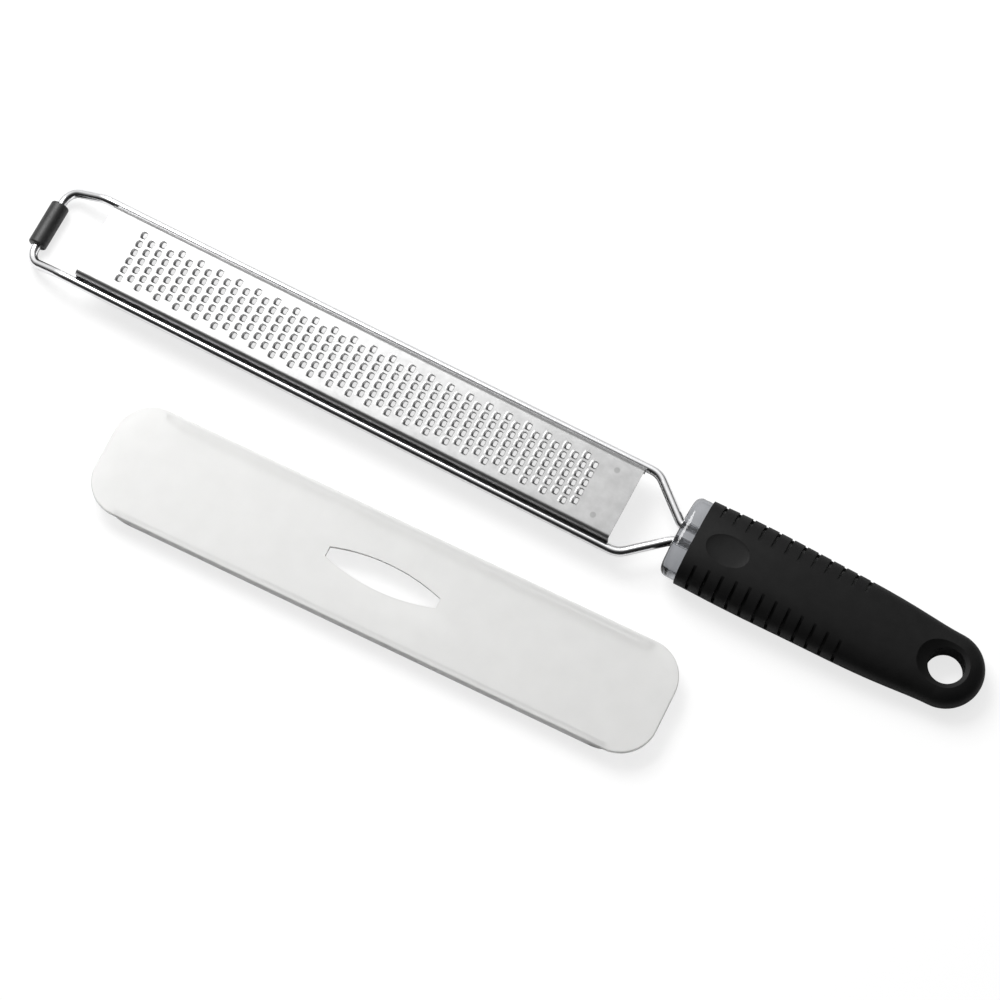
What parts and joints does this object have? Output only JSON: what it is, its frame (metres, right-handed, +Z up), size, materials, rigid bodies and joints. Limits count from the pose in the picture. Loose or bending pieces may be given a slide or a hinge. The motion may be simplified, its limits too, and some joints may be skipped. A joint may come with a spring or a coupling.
{
  "type": "rasp zester with blade cover",
  "caption": "Long narrow rasp zester: perforated steel blade in a bent wire frame, rubber tip sleeve, clear collar, black soft grip with hanging hole, and a translucent push-on cover beside it.",
  "frame": {"origin": "under the middle of the set's box, on the surface that the tool and its cover lie on", "axes": "+X along the tool from the tip to the handle, +Z up from that surface"},
  "size_m": [0.3298, 0.091, 0.0158],
  "materials": {
    "polished_wire": "polished stainless wire",
    "etched_sheet": "satin stainless sheet",
    "tip_rubber": "matte",
    "clear_plastic": "clear gloss",
    "soft_grip": "fine matte",
    "milky_plastic": "milky translucent"
  },
  "bodies": {
    "zester": {"wire_frame": "polished_wire", "grating_blade": "etched_sheet", "tip_sleeve": "tip_rubber", "handle_core": "clear_plastic", "handle_grip": "soft_grip"},
    "cover": {"blade_cover": "milky_plastic"}
  },
  "joints": [
    {"name": "cover_lift", "type": "slide", "parent": "zester", "child": "cover", "axis": [0, 0, 1], "range_m": [0, 0.04]}
  ]
}
